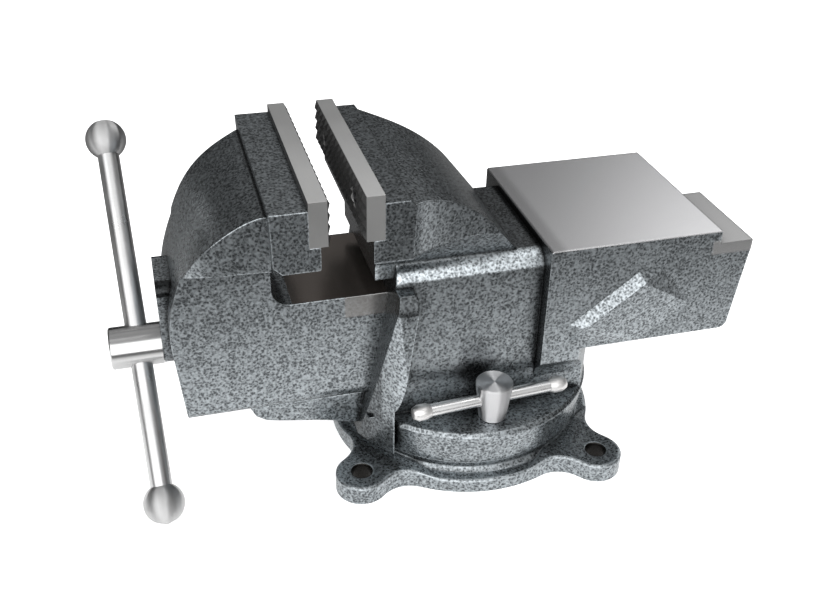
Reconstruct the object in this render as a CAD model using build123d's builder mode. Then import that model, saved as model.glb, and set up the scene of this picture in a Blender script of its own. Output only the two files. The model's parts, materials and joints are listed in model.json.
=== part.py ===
from build123d import *
import math
import os

os.makedirs("parts", exist_ok=True)

# A swivel bench vise with an anvil behind the fixed jaw.
# Millimetres. +Z is up, -X is the handle end and the slide runs along X.
# The origin is on the swivel axis, on the underside of the base.

# Fits and running clearances
running_gap = 0.08
body_gap = 0.3
slide_gap = 0.4
screw_head_gap = 0.1
screw_gap = 0.05

# How far joined shapes run into each other, and cutting shapes past a face
overlap = 1.0
cut_past = 5.0

# Jaws
jaw_width = 150.0
jaw_top = 225.0
plate_height = 29.4
plate_body = 11.2
tooth_depth = 2.2
tooth_columns = 18
tooth_rows = 4
jaw_opening = 18.3
fixed_plate_back = -77.1
block_drop = 5.5
block_height = 39.5
block_depth = 22.5
fixed_block_depth = 15.3
fixed_block_slope = 4.3
fixed_block_fall = 6.0
ledge_reach = 6.7
block_edge = 1.5
plate_screw_pitch = 90.0
plate_screw_radius = 4.0
plate_screw_head_radius = 6.5
plate_screw_head_depth = 7.0
plate_screw_length = 20.0
plate_screw_spare = 2.0
plate_socket_radius = 3.4
plate_socket_depth = 3.0

# Base casting
foot_radius = 96.5
foot_height = 10.5
foot_edge = 1.2
base_height = 20.0
ring_foot_radius = 85.5
ring_top_radius = 87.8
ring_flare = 3.0
lug_circle_radius = 115.2
lug_radius = 18.0
lug_height = 14.0
lug_top_half = 24.0
lug_slope_run = 20.0
lug_hole_radius = 7.2
lug_blend_share = 0.8
lug_angles = (-142.6, -50.4, 37.4, 129.6)
relief_width = 30.0
relief_height = 12.0
relief_draft = 80
pivot_radius = 20.0
pivot_depth = 16.0
tee_slot_width = 13.0
tee_room_width = 25.0
tee_web = 4.0
tee_roof = 12.5

# Swivel flange and the housing above it
flange_foot_radius = 88.6
flange_top_radius = 91.6
flange_top = 46.0
flange_edge = 2.5
housing_half = 54.0
housing_back = 36.5
front_lean = 10.1
front_x = -66.7
front_z = 137.0
shoulder_low = 150.0
shoulder_middle_in = 3.0
shoulder_middle = 156.0
shoulder_high = 160.0
shoulder_in = 8.5
overhang_half = 55.0
rib_circle_radius = 95.5
rib_out = 73.0
rib_waist = (-55.0, 126.0)
rib_ankle = (-61.2, 86.0)
rib_heel = (-68.0, 58.0)
rib_top = 147.0
rib_top_depth = 12.0
rib_straight_top = 84.0
rib_bend_in = 2.0
rib_bend_z = 118.0
rib_top_in = 9.0
rib_corner = 3.0
dome_back = 27.0
dome_foot = 150.0
flank_start = -59.5
flank_bend = (-47.0, 66.0)
flank_waist = (-22.0, 57.5)
flank_end = 2.0
crown_start = (-59.5, jaw_top - 9.0)
crown_middle = (-27.0, jaw_top - 20.0)
crown_end = (-2.0, jaw_top - 39.5)

# Anvil and tail
anvil_half = 64.0
anvil_back = 157.0
anvil_top = 165.6
tail_under = 86.0
tail_end = 181.5
tail_foot_end = 174.5
tail_corner = 6.0
step_top = 156.2
step_edge = 6.0
step_far = 8.4
back_shelf = 143.0
column_radius = 90.0
column_low = 60.0
column_neck_half = 55.8
column_neck = 68.0
column_shoulder = 77.0
gusset_out = 5.6
gusset_front = (54.0, 107.0)
gusset_shoulder = (100.0, 142.0)
gusset_tip = (117.0, 142.0)
gusset_heel = (140.0, 112.0)
gusset_under = (105.8, 86.0)
gusset_toe = (53.0, 94.0)
gusset_ridge = (103.0, 135.5)
gusset_ridge_foot = (60.0, 103.5)
gusset_foot_out = 3.8

# Shelf that carries the slide in front of the flange
shelf_half = 35.0
shelf_front = -160.0
shelf_nose = (-156.5, 47.0)
shelf_chin = (-150.0, 42.5)
shelf_bend = (-104.0, 33.0)
shelf_foot = (-80.0, 28.0)
shelf_back = -60.0

# Box slide
slide_half = 41.6
slide_top = 137.4
slide_under = 54.5
slide_corner = 10.0
slide_end = 40.0
bar_end = 145.0
bar_under = 88.0
hollow_half = 29.0
hollow_top = 123.0
hollow_corner = 8.0
hollow_front = -172.0
channel_run = 22.0
tail_room = 21.0

# Front of the sliding jaw
front_face = -206.0
front_face_top = jaw_top - 113.0
front_foot = -201.0
front_corner = 5.0
front_curve = (
    (-205.6, jaw_top - 93.0),
    (-200.0, jaw_top - 70.0),
    (-184.0, jaw_top - 38.5),
    (-165.0, jaw_top - 21.2),
    (-146.0, jaw_top - 11.8),
)
neck_back = -141.8
neck_fillet = 12.0
bell_half = 60.0
bell_under = jaw_top - 42.0
bell_slope = 16.0
bell_flank = ((-152.0, 62.0), (-168.0, 59.5), (-181.0, 56.0), (-191.0, 50.0))
bell_front = -199.0
bell_front_in = 8.0
boss_face = -211.4
boss_top = 150.0
boss_half = 22.0
boss_corner = 6.0
boss_waist = 136.0
boss_radius = 13.6

# Spindle and handle
axis_z = 94.1
hub_radius = 14.2
hub_end = -245.4
hub_edge = 1.0
screw_radius = 12.0
screw_end = 117.0
screw_edge = 2.0
screw_room = 4.0
collar_radius = 20.0
collar_width = 10.0
collar_pin_radius = 2.5
collar_pin_inset = 0.5
handle_x = -226.9
handle_radius = 7.15
handle_tilt = 41.0
handle_lean = 1.6
handle_up = 142.7
handle_down = 105.3
ball_radius = 13.5
ball_point = 0.6
ball_point_angle = math.radians(28.0)
socket_top = 4.0

# Main nut
nut_front = -52.0
nut_length = 44.0
nut_half = 24.0
nut_top = 117.0
nut_slope_in = 15.0
nut_slope_foot = 102.1
nut_bolt_radius = 5.0
nut_bolt_head_radius = 8.0
nut_bolt_head_height = 8.0
nut_bolt_seat = 34.0
nut_bolt_grip = 18.0
nut_bolt_x = -40.0
nut_bolt_pitch = 28.0

# Swivel locks
lock_circle_radius = 71.4
lock_top = 75.0
lock_head_radius = 12.0
lock_foot_radius = 7.5
lock_shank_radius = 6.0
lock_bar_z = 61.4
lock_bar_radius = 3.1
lock_bar_length = 100.0
lock_bar_turn = 4.0
lock_bar_shift = -2.0
knob_radius = 6.0
knob_length = 12.0
knob_sides = 10
knob_chamfer = 1.2
lock_rim = 3.0
lock_edge = 1.2
tee_nut_thickness = 7.0
tee_nut_length = 30.0

# Positions that follow from the sizes above
plate_thickness = plate_body + tooth_depth
moving_plate_back = fixed_plate_back - jaw_opening - 2 * plate_thickness
half_jaw = jaw_width / 2
plate_foot = jaw_top - plate_height
block_top = jaw_top - block_drop
block_foot = block_top - block_height
block_back = moving_plate_back - block_depth
fixed_block_back = fixed_plate_back + fixed_block_depth
flange_foot = base_height + body_gap
channel_half = slide_half + slide_gap
channel_top = slide_top + slide_gap
channel_under = slide_under - body_gap
channel_end = slide_end + channel_run
column_notch = axis_z - screw_radius - screw_room
tail_room_end = bar_end + tail_room
crown_edge = front_curve[-1][1]
lean = math.tan(math.radians(front_lean))
screw_z = (plate_foot + jaw_top) / 2
collar_front = hollow_front + body_gap
collar_middle = collar_front + collar_width / 2
foot_join = foot_radius**2 - lug_radius**2
lug_blend = lug_blend_share * (lug_circle_radius**2 - foot_join) / (2 * (foot_radius - lug_radius))
handle_along = Vector(0, 0, 1).rotate(Axis.Y, -handle_lean).rotate(Axis.X, -handle_tilt)
handle_across = Vector(1, 0, 0).rotate(Axis.Y, -handle_lean).rotate(Axis.X, -handle_tilt)
handle_line = Plane(origin=(handle_x, 0, axis_z), x_dir=handle_across, z_dir=handle_along)


def front_at(z):
    """The leaning front face of the housing, as x at a height."""
    return front_x - (front_z - z) * lean


# Saddles over the lugs, as high as the lugs and falling away to the foot on both sides
with BuildPart() as lug_saddles:
    for angle in lug_angles:
        with BuildSketch(Plane.YZ.rotated((0, 0, angle)).offset(ring_foot_radius - overlap)):
            with BuildLine():
                saddle = Polyline(
                    (0, lug_height),
                    (lug_top_half, lug_height),
                    (lug_top_half + lug_slope_run, foot_height),
                    (lug_top_half + lug_slope_run, 0),
                    (0, 0),
                )
                mirror(saddle, about=Plane.YZ)
            make_face()
        extrude(amount=lug_circle_radius + lug_radius + overlap - ring_foot_radius + overlap)

# Base casting: round foot with four lugs, ring, circular T slot, bore for the pivot
with BuildPart() as swivel_base:
    with BuildSketch() as foot_outline:
        Circle(foot_radius)
        for angle in lug_angles:
            with Locations(Location((0, 0, 0), (0, 0, angle))):
                with Locations((lug_circle_radius, 0)):
                    Circle(lug_radius)
                with Locations((lug_circle_radius - lug_radius, 0)):
                    Rectangle(2 * lug_radius, 2 * lug_radius)
        blends = foot_outline.vertices().filter_by(
            lambda v: abs(math.hypot(v.X, v.Y) - foot_radius) < running_gap
        )
        fillet(blends, lug_blend)
    extrude(amount=lug_height)
    chamfer(swivel_base.faces().sort_by(Axis.Z)[-1].outer_wire().edges(), foot_edge)
    add(lug_saddles.part, mode=Mode.INTERSECT)
    with BuildSketch():
        add(foot_outline.sketch)
    extrude(amount=foot_height - foot_edge)
    with BuildSketch(Plane.XY.offset(foot_height - foot_edge)):
        Circle(foot_radius)
    extrude(amount=foot_edge, taper=45)
    with BuildSketch(Plane.XZ):
        with BuildLine():
            Polyline(
                (0, foot_height - overlap),
                (ring_foot_radius + ring_flare, foot_height - overlap),
                (ring_foot_radius + ring_flare, foot_height),
                (ring_foot_radius, foot_height + ring_flare),
                (ring_top_radius, base_height),
                (0, base_height),
                close=True,
            )
        make_face()
    revolve(axis=Axis.Z)
    with BuildSketch(Plane.XZ):
        with Locations((lock_circle_radius, (tee_roof + base_height) / 2)):
            Rectangle(tee_slot_width, base_height - tee_roof)
        with Locations((lock_circle_radius, (tee_web + tee_roof) / 2)):
            Rectangle(tee_room_width, tee_roof - tee_web)
    revolve(axis=Axis.Z, mode=Mode.SUBTRACT)
    # Relief under the foot, between the pivot and the T slot
    with BuildSketch(Plane.XZ):
        with Locations(((pivot_radius + lock_circle_radius - tee_room_width / 2 + ring_flare) / 2, 0)):
            Trapezoid(relief_width, relief_height, relief_draft, align=(Align.CENTER, Align.MIN))
    revolve(axis=Axis.Z, mode=Mode.SUBTRACT)
    with BuildSketch(Plane.XY.offset(base_height - pivot_depth - body_gap)):
        Circle(pivot_radius + running_gap)
    extrude(amount=base_height, mode=Mode.SUBTRACT)
    with BuildSketch():
        with PolarLocations(lock_circle_radius, 2, start_angle=lug_angles[1] - 45):
            Circle(tee_room_width / 2)
    extrude(amount=tee_web, mode=Mode.SUBTRACT)
    for angle in lug_angles:
        with PolarLocations(lug_circle_radius, 1, start_angle=angle):
            Hole(lug_hole_radius)

swivel_base.part.label = "swivel_base"

export_step(swivel_base.part, "parts/swivel_base.step")


# Round column, narrowing below the anvil, that carries the tail
with BuildPart() as lower_shape:
    with BuildSketch(Plane.YZ.offset(housing_back - overlap)):
        with BuildLine():
            half_line = Polyline(
                (0, flange_top - overlap),
                (housing_half, flange_top - overlap),
                (housing_half, column_low),
                (column_neck_half, column_neck),
                (anvil_half, column_shoulder),
                (anvil_half, tail_under + 2 * cut_past),
                (0, tail_under + 2 * cut_past),
            )
            mirror(half_line, about=Plane.YZ)
        make_face()
    extrude(amount=column_radius)
    with BuildSketch(Plane.XY.offset(flange_top - overlap)):
        Circle(column_radius)
    extrude(amount=anvil_top - flange_top, mode=Mode.INTERSECT)

# Leaning buttresses beside the slide, wider towards the flange
with BuildPart() as rib_pair:
    with BuildSketch(Plane.XZ.offset(-rib_out)):
        with BuildLine():
            rib_foot = flange_foot + overlap
            rib_front = Line((front_at(rib_top), rib_top), (front_at(rib_foot), rib_foot))
            rib_back = Spline(
                (front_at(rib_top) + rib_top_depth, rib_top - rib_corner),
                rib_waist,
                rib_ankle,
                rib_heel,
                tangents=((0, -1), (-1, -2)),
            )
            Polyline(rib_back @ 1, (rib_heel[0], rib_foot), rib_front @ 1)
            Line(rib_front @ 0, rib_front @ 0 + Vector(rib_top_depth - rib_corner, 0))
            RadiusArc(
                rib_front @ 0 + Vector(rib_top_depth - rib_corner, 0),
                rib_back @ 0,
                rib_corner,
            )
        make_face()
    extrude(amount=2 * rib_out)
    with BuildSketch(Plane.YZ.offset(rib_heel[0] - rib_out)):
        with BuildLine():
            rib_side = Spline(
                (rib_out, rib_straight_top),
                (rib_out - rib_bend_in, rib_bend_z),
                (rib_out - rib_top_in, rib_top),
                tangents=((0, 1), (-1, 1)),
            )
            foot_line = Polyline((0, flange_foot), (rib_out, flange_foot), rib_side @ 0)
            top_line = Line(rib_side @ 1, (0, rib_top))
            mirror(rib_side, about=Plane.YZ)
            mirror(foot_line, about=Plane.YZ)
            mirror(top_line, about=Plane.YZ)
        make_face()
    extrude(amount=2 * rib_out, mode=Mode.INTERSECT)
    with BuildSketch(Plane.XY.offset(flange_foot)):
        Circle(rib_circle_radius)
    extrude(amount=rib_top, mode=Mode.INTERSECT)

# Flared jaw seen from above, cut to the domed side outline
with BuildPart() as fixed_dome:
    with BuildSketch(Plane.XY.offset(dome_foot)):
        with BuildLine():
            side = Spline(
                (flank_start, half_jaw),
                flank_bend,
                flank_waist,
                (flank_end, housing_half),
                (housing_back, housing_half - overlap),
            )
            Polyline(side @ 1, (housing_back, 0), (fixed_plate_back + overlap, 0))
            Polyline((fixed_plate_back + overlap, 0), (fixed_plate_back + overlap, half_jaw), side @ 0)
        make_face()
        mirror(about=Plane.XZ)
    extrude(amount=jaw_top - dome_foot)
    with BuildSketch(Plane.XZ.offset(-half_jaw)):
        with BuildLine():
            crown = ThreePointArc(crown_start, crown_middle, crown_end)
            Line(crown @ 1, (dome_back, dome_foot))
            Line((dome_back, dome_foot), (fixed_plate_back, dome_foot))
            Polyline((fixed_plate_back, dome_foot), (fixed_plate_back, crown_start[1]), crown @ 0)
        make_face()
    extrude(amount=jaw_width, mode=Mode.INTERSECT)
    # Under the flare the neck draws in towards the shoulders of the housing
    with BuildSketch(Plane.YZ.offset(fixed_plate_back - cut_past)):
        with BuildLine():
            Polyline(
                (housing_half - shoulder_in, dome_foot),
                (housing_half - shoulder_in, shoulder_high),
                (overhang_half, block_foot),
                (jaw_width, block_foot),
                (jaw_width, dome_foot),
                close=True,
            )
        make_face()
        mirror(about=Plane.YZ)
    extrude(amount=housing_back - fixed_plate_back + 2 * cut_past, mode=Mode.SUBTRACT)

# Low braces on the tail's sides, each like a hipped roof with its ridge near the upper edge
with BuildPart() as gussets:
    eaves = [gusset_front, gusset_shoulder, gusset_tip, gusset_heel, gusset_under, gusset_toe]
    ridge_end = Vector(gusset_ridge[0], -anvil_half - gusset_out, gusset_ridge[1])
    ridge_foot = Vector(gusset_ridge_foot[0], -anvil_half - gusset_foot_out, gusset_ridge_foot[1])
    with BuildSketch(Plane.XZ.offset(anvil_half)):
        Polygon(*eaves, align=None)
    extrude(amount=gusset_out)
    for i, eave in enumerate(eaves):
        start = Vector(eave[0], -anvil_half, eave[1])
        following = eaves[(i + 1) % len(eaves)]
        along = Vector(following[0], -anvil_half, following[1]) - start
        summit = ridge_end if i < 4 else ridge_foot
        roof = Plane(origin=start, x_dir=along, z_dir=along.cross(summit - start))
        split(bisect_by=roof, keep=Keep.TOP)
    mirror(about=Plane.XZ)


# Fixed casting: swivel flange, housing with slide channel, fixed jaw, anvil and tail
with BuildPart() as vise_body:
    with BuildSketch(Plane.XZ):
        with BuildLine():
            Polyline(
                (0, base_height - pivot_depth),
                (pivot_radius, base_height - pivot_depth),
                (pivot_radius, flange_foot),
                (flange_foot_radius, flange_foot),
                (flange_top_radius, flange_top - flange_edge),
                (flange_top_radius - flange_edge, flange_top),
                (0, flange_top),
                close=True,
            )
        make_face()
    revolve(axis=Axis.Z)
    # Housing with bevelled shoulders, its front face leaning out towards the flange
    with BuildSketch(Plane.YZ.offset(-flange_top_radius)):
        with BuildLine():
            wall = Polyline(
                (0, flange_top - overlap),
                (housing_half, flange_top - overlap),
                (housing_half, shoulder_low),
            )
            shoulder = Polyline(
                wall @ 1,
                (housing_half - shoulder_middle_in, shoulder_middle),
                (housing_half - shoulder_in, shoulder_high),
                (0, shoulder_high),
            )
            mirror(wall, about=Plane.YZ)
            mirror(shoulder, about=Plane.YZ)
        make_face()
    extrude(amount=flange_top_radius + housing_back)
    with BuildSketch(Plane.XZ.offset(-half_jaw)):
        with BuildLine():
            Polyline(
                (-flange_top_radius - cut_past, flange_top - overlap),
                (front_at(flange_top - overlap), flange_top - overlap),
                (front_at(block_foot), block_foot),
                (-flange_top_radius - cut_past, block_foot),
                close=True,
            )
        make_face()
    extrude(amount=jaw_width, mode=Mode.SUBTRACT)
    with BuildSketch(Plane.XY.offset(flange_top)):
        Circle(flange_top_radius + 2 * cut_past)
        Circle(rib_circle_radius, mode=Mode.SUBTRACT)
    extrude(amount=shoulder_high - flange_top, mode=Mode.SUBTRACT)
    add(rib_pair.part)
    add(lower_shape.part)
    # Anvil block and tail, open underneath behind the column
    with BuildSketch(Plane.XZ.offset(-anvil_half)):
        with BuildLine():
            Polyline(
                (housing_back, anvil_top),
                (anvil_back, anvil_top),
                (anvil_back, back_shelf),
                (tail_end - overlap, back_shelf),
                (tail_foot_end, tail_under),
                (housing_back - overlap, tail_under),
                (housing_back - overlap, anvil_top - overlap),
                (housing_back, anvil_top),
            )
        make_face()
        fillet(vertices().group_by(Axis.Y)[0].sort_by(Axis.X)[-1], tail_corner)
    extrude(amount=2 * anvil_half)
    add(gussets.part)
    # Raised step behind the anvil face
    with BuildSketch(Plane.XZ.offset(anvil_half)):
        with BuildLine():
            Polyline(
                (anvil_back - cut_past, step_top),
                (tail_end, step_top),
                (tail_end, step_top - step_edge),
                (tail_end - overlap, back_shelf),
                (anvil_back - cut_past, back_shelf),
                close=True,
            )
        make_face()
    extrude(amount=-(anvil_half + step_far))
    # Shelf under the slide
    with BuildSketch(Plane.XZ.offset(-shelf_half)):
        with BuildLine():
            shelf_line = Spline(shelf_chin, shelf_bend, shelf_foot, tangents=((1, -0.3), (1, 0)))
            Polyline((shelf_front, channel_under), shelf_nose, shelf_line @ 0)
            Polyline(
                shelf_line @ 1,
                (shelf_back, shelf_foot[1]),
                (shelf_back, channel_under),
                (shelf_front, channel_under),
            )
        make_face()
    extrude(amount=2 * shelf_half)
    add(fixed_dome.part)
    # Fixed jaw block with the ledge that the plate sits on
    with BuildSketch(Plane.XZ.offset(-half_jaw)):
        with BuildLine():
            Polyline(
                (fixed_plate_back, block_top),
                (fixed_block_back, block_top),
                (fixed_block_back + fixed_block_slope, block_top - fixed_block_fall),
                (flank_start, block_foot + fixed_block_fall),
                (flank_start, block_foot),
                (fixed_plate_back - ledge_reach, block_foot),
                (fixed_plate_back - ledge_reach, plate_foot),
                (fixed_plate_back, plate_foot),
                close=True,
            )
        make_face()
    extrude(amount=jaw_width)
    # Slide channel through the housing, then the room inside the tail
    with BuildSketch(Plane.YZ.offset(shelf_front - cut_past)):
        with Locations((0, (channel_under + channel_top) / 2)):
            Rectangle(2 * channel_half, channel_top - channel_under)
        fillet(vertices().group_by(Axis.Y)[0], slide_corner)
    extrude(amount=channel_end - shelf_front + cut_past, mode=Mode.SUBTRACT)
    with BuildSketch(Plane.YZ.offset(channel_end - overlap)):
        with Locations((0, (column_notch + channel_top) / 2)):
            Rectangle(2 * channel_half, channel_top - column_notch)
    extrude(amount=tail_room_end - channel_end + overlap, mode=Mode.SUBTRACT)
    # Plate screws, nut bolts, lock bolts and their seats
    with Locations(Plane.YZ.offset(fixed_plate_back)):
        with Locations((-plate_screw_pitch / 2, screw_z), (plate_screw_pitch / 2, screw_z)):
            Cylinder(
                plate_screw_radius,
                plate_screw_length,
                align=(Align.CENTER, Align.CENTER, Align.MIN),
                mode=Mode.SUBTRACT,
            )
    with Locations((0, -lock_circle_radius, flange_top), (0, lock_circle_radius, flange_top)):
        Hole(lock_shank_radius + body_gap, depth=flange_top - flange_foot)
    with BuildSketch(Plane.XY.offset(flange_foot)):
        with Locations((nut_bolt_x, -nut_bolt_pitch / 2), (nut_bolt_x, nut_bolt_pitch / 2)):
            Circle(nut_bolt_radius + body_gap)
    extrude(amount=channel_under - flange_foot, mode=Mode.SUBTRACT)
    with BuildSketch(Plane.XY.offset(flange_foot)):
        with Locations((nut_bolt_x, -nut_bolt_pitch / 2), (nut_bolt_x, nut_bolt_pitch / 2)):
            Circle(nut_bolt_head_radius + body_gap)
    extrude(amount=nut_bolt_seat - flange_foot, mode=Mode.SUBTRACT)

vise_body.part.label = "vise_body"

export_step(vise_body.part, "parts/vise_body.step")


# Domed front seen from above, cut underneath to slope in towards the slide
with BuildPart() as bell:
    with BuildSketch(Plane.XY.offset(bell_under - bell_slope)):
        with BuildLine():
            Polyline((block_back + overlap, 0), (block_back + overlap, bell_half + cut_past))
            flank = Spline((block_back + overlap, bell_half + cut_past), *bell_flank, (bell_front, slide_half))
            Polyline(
                flank @ 1,
                (front_face, slide_half - bell_front_in),
                (front_face, 0),
                (block_back + overlap, 0),
            )
        make_face()
        mirror(about=Plane.XZ)
    extrude(amount=jaw_top - bell_under + bell_slope)
    with BuildSketch(Plane.YZ.offset(boss_face)):
        with BuildLine():
            Polyline(
                (slide_half - overlap, bell_under - bell_slope),
                (half_jaw + cut_past, bell_under),
                (half_jaw + cut_past, bell_under - bell_slope),
                close=True,
            )
        make_face()
        mirror(about=Plane.YZ)
    extrude(amount=block_back - boss_face + cut_past, mode=Mode.SUBTRACT)

# Sliding jaw casting: box slide, domed front, jaw block, boss for the spindle
with BuildPart() as sliding_jaw:
    # Side outline of the front: drafted foot, dome, and the back of the neck
    with BuildSketch(Plane.XZ.offset(-half_jaw)):
        with BuildLine():
            Polyline((neck_back, crown_edge), (neck_back, slide_under), (front_foot, slide_under))
            Line((front_foot, slide_under), (front_face, front_face_top))
            Spline((front_face, front_face_top), *front_curve)
            Line(front_curve[-1], (neck_back, crown_edge))
        make_face()
        fillet(vertices().group_by(Axis.Y)[0].sort_by(Axis.X)[0], front_corner)
    extrude(amount=jaw_width)
    with BuildSketch(Plane.YZ.offset(boss_face)):
        with Locations((0, (slide_under + block_top) / 2)):
            Rectangle(2 * slide_half, block_top - slide_under)
        fillet(vertices().group_by(Axis.Y)[0], slide_corner)
    extrude(amount=neck_back - boss_face + cut_past, mode=Mode.INTERSECT)
    add(bell.part)
    with BuildSketch(Plane.XZ.offset(-half_jaw)):
        with BuildLine():
            Spline((front_face, front_face_top), *front_curve)
            Polyline(
                front_curve[-1],
                (block_back + overlap, crown_edge),
                (block_back + overlap, jaw_top + cut_past),
                (boss_face, jaw_top + cut_past),
                (boss_face, front_face_top),
                (front_face, front_face_top),
            )
        make_face()
    extrude(amount=jaw_width, mode=Mode.SUBTRACT)
    # Full-height slide, then the shallower bar that runs back under the anvil
    with BuildSketch(Plane.YZ.offset(neck_back - overlap)):
        with Locations((0, (slide_under + slide_top) / 2)):
            Rectangle(2 * slide_half, slide_top - slide_under)
        fillet(vertices().group_by(Axis.Y)[0], slide_corner)
    extrude(amount=slide_end - neck_back + overlap)
    with BuildSketch(Plane.YZ.offset(slide_end - overlap)):
        with Locations((0, (bar_under + slide_top) / 2)):
            Rectangle(2 * slide_half, slide_top - bar_under)
    extrude(amount=bar_end - slide_end + overlap)
    # Fillet where the neck meets the slide
    with BuildSketch(Plane.XZ.offset(-slide_half)):
        with BuildLine():
            fillet_top = slide_top + neck_fillet
            fillet_end = neck_back + neck_fillet
            Polyline((neck_back, fillet_top), (neck_back - overlap, fillet_top), (neck_back - overlap, slide_top))
            Line((neck_back - overlap, slide_top), (fillet_end, slide_top))
            RadiusArc((neck_back, fillet_top), (fillet_end, slide_top), -neck_fillet)
        make_face()
    extrude(amount=2 * slide_half)
    # Jaw block and its ledge
    with BuildSketch(Plane.XZ.offset(-half_jaw)):
        with BuildLine():
            Polyline(
                (block_back, block_top),
                (moving_plate_back, block_top),
                (moving_plate_back, plate_foot),
                (moving_plate_back + ledge_reach, plate_foot),
                (moving_plate_back + ledge_reach, block_foot),
                (block_back + cut_past + overlap, block_foot),
                (block_back + overlap, block_foot + cut_past),
                close=True,
            )
        make_face()
        fillet(vertices().sort_by(Axis.X)[-2:].sort_by(Axis.Y)[0], block_edge)
    extrude(amount=jaw_width)
    # Boss on the front face, round about the spindle
    with BuildSketch(Plane.YZ.offset(boss_face)):
        with BuildLine():
            Polyline(
                (boss_radius, axis_z),
                (boss_half, boss_waist),
                (boss_half, boss_top),
                (-boss_half, boss_top),
                (-boss_half, boss_waist),
                (-boss_radius, axis_z),
            )
            ThreePointArc((boss_radius, axis_z), (0, axis_z - boss_radius), (-boss_radius, axis_z))
        make_face()
        fillet(vertices().filter_by_position(Axis.Y, boss_waist - overlap, boss_top + overlap), boss_corner)
    extrude(amount=front_face - boss_face + cut_past)
    # Hollow underside for the screw and the nut
    with BuildSketch(Plane.YZ.offset(hollow_front)):
        with Locations((0, (slide_under - cut_past + hollow_top) / 2)):
            Rectangle(2 * hollow_half, hollow_top - slide_under + cut_past)
        fillet(vertices().group_by(Axis.Y)[-1], hollow_corner)
    extrude(amount=bar_end - hollow_front + cut_past, mode=Mode.SUBTRACT)
    with BuildSketch(Plane.YZ.offset(boss_face - cut_past)):
        with Locations((0, axis_z)):
            Circle(screw_radius + running_gap)
    extrude(amount=hollow_front - boss_face + 2 * cut_past, mode=Mode.SUBTRACT)
    with Locations(Plane.YZ.offset(moving_plate_back)):
        with Locations((-plate_screw_pitch / 2, screw_z), (plate_screw_pitch / 2, screw_z)):
            Cylinder(
                plate_screw_radius,
                plate_screw_length,
                align=(Align.CENTER, Align.CENTER, Align.MAX),
                mode=Mode.SUBTRACT,
            )

sliding_jaw.part.label = "sliding_jaw"

export_step(sliding_jaw.part, "parts/sliding_jaw.step")


def jaw_plate(back_x, face_sign):
    """A hardened plate with rows of pyramid teeth, facing along face_sign times +X."""
    row = plate_height / tooth_rows
    column = jaw_width / tooth_columns
    tip_x = back_x + face_sign * plate_thickness
    root_x = back_x + face_sign * plate_body
    with BuildPart() as plate:
        with BuildSketch(Plane.XZ.offset(-half_jaw)):
            with BuildLine():
                teeth = [(root_x, plate_foot)]
                for i in range(tooth_rows):
                    teeth.append((tip_x, plate_foot + (i + 0.5) * row))
                    teeth.append((root_x, plate_foot + (i + 1) * row))
                Polyline(*teeth, (back_x, jaw_top), (back_x, plate_foot), close=True)
            make_face()
        extrude(amount=jaw_width)
        with BuildSketch(Plane.XY.offset(plate_foot - overlap)):
            with BuildLine():
                teeth = [(root_x, -half_jaw)]
                for i in range(tooth_columns):
                    teeth.append((tip_x, -half_jaw + (i + 0.5) * column))
                    teeth.append((root_x, -half_jaw + (i + 1) * column))
                Polyline(*teeth, (back_x, half_jaw), (back_x, -half_jaw), close=True)
            make_face()
        extrude(amount=plate_height + 2 * overlap, mode=Mode.INTERSECT)
        with BuildSketch(Plane.YZ.offset(back_x)):
            with Locations((-plate_screw_pitch / 2, screw_z), (plate_screw_pitch / 2, screw_z)):
                Circle(plate_screw_radius)
        extrude(amount=face_sign * plate_thickness, mode=Mode.SUBTRACT)
        with BuildSketch(Plane.YZ.offset(tip_x - face_sign * plate_screw_head_depth)):
            with Locations((-plate_screw_pitch / 2, screw_z), (plate_screw_pitch / 2, screw_z)):
                Circle(plate_screw_head_radius)
        extrude(amount=face_sign * plate_screw_head_depth, mode=Mode.SUBTRACT)
    return plate.part


def plate_screws(back_x, face_sign):
    """Two socket head screws that hold a plate, as separate solids."""
    head_x = back_x + face_sign * (plate_thickness - plate_screw_head_depth)
    with BuildPart() as screws:
        with BuildSketch(Plane.YZ.offset(head_x)):
            with Locations((-plate_screw_pitch / 2, screw_z), (plate_screw_pitch / 2, screw_z)):
                Circle(plate_screw_head_radius - screw_head_gap)
        extrude(amount=face_sign * (plate_screw_head_depth - tooth_depth))
        with BuildSketch(Plane.YZ.offset(head_x)):
            with Locations((-plate_screw_pitch / 2, screw_z), (plate_screw_pitch / 2, screw_z)):
                Circle(plate_screw_radius - screw_gap)
        grip = plate_thickness - plate_screw_head_depth
        extrude(amount=-face_sign * (grip + plate_screw_length - plate_screw_spare))
        with BuildSketch(Plane.YZ.offset(head_x + face_sign * (plate_screw_head_depth - tooth_depth))):
            with Locations((-plate_screw_pitch / 2, screw_z), (plate_screw_pitch / 2, screw_z)):
                RegularPolygon(plate_socket_radius, 6)
        extrude(amount=-face_sign * plate_socket_depth, mode=Mode.SUBTRACT)
    return screws.part


moving_jaw_plate = jaw_plate(moving_plate_back, 1)
moving_jaw_plate.label = "moving_jaw_plate"
export_step(moving_jaw_plate, "parts/moving_jaw_plate.step")

fixed_jaw_plate = jaw_plate(fixed_plate_back, -1)
fixed_jaw_plate.label = "fixed_jaw_plate"
export_step(fixed_jaw_plate, "parts/fixed_jaw_plate.step")

moving_plate_screws = plate_screws(moving_plate_back, 1)
moving_plate_screws.label = "moving_plate_screws"
export_step(moving_plate_screws, "parts/moving_plate_screws.step")

fixed_plate_screws = plate_screws(fixed_plate_back, -1)
fixed_plate_screws.label = "fixed_plate_screws"
export_step(fixed_plate_screws, "parts/fixed_plate_screws.step")


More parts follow.
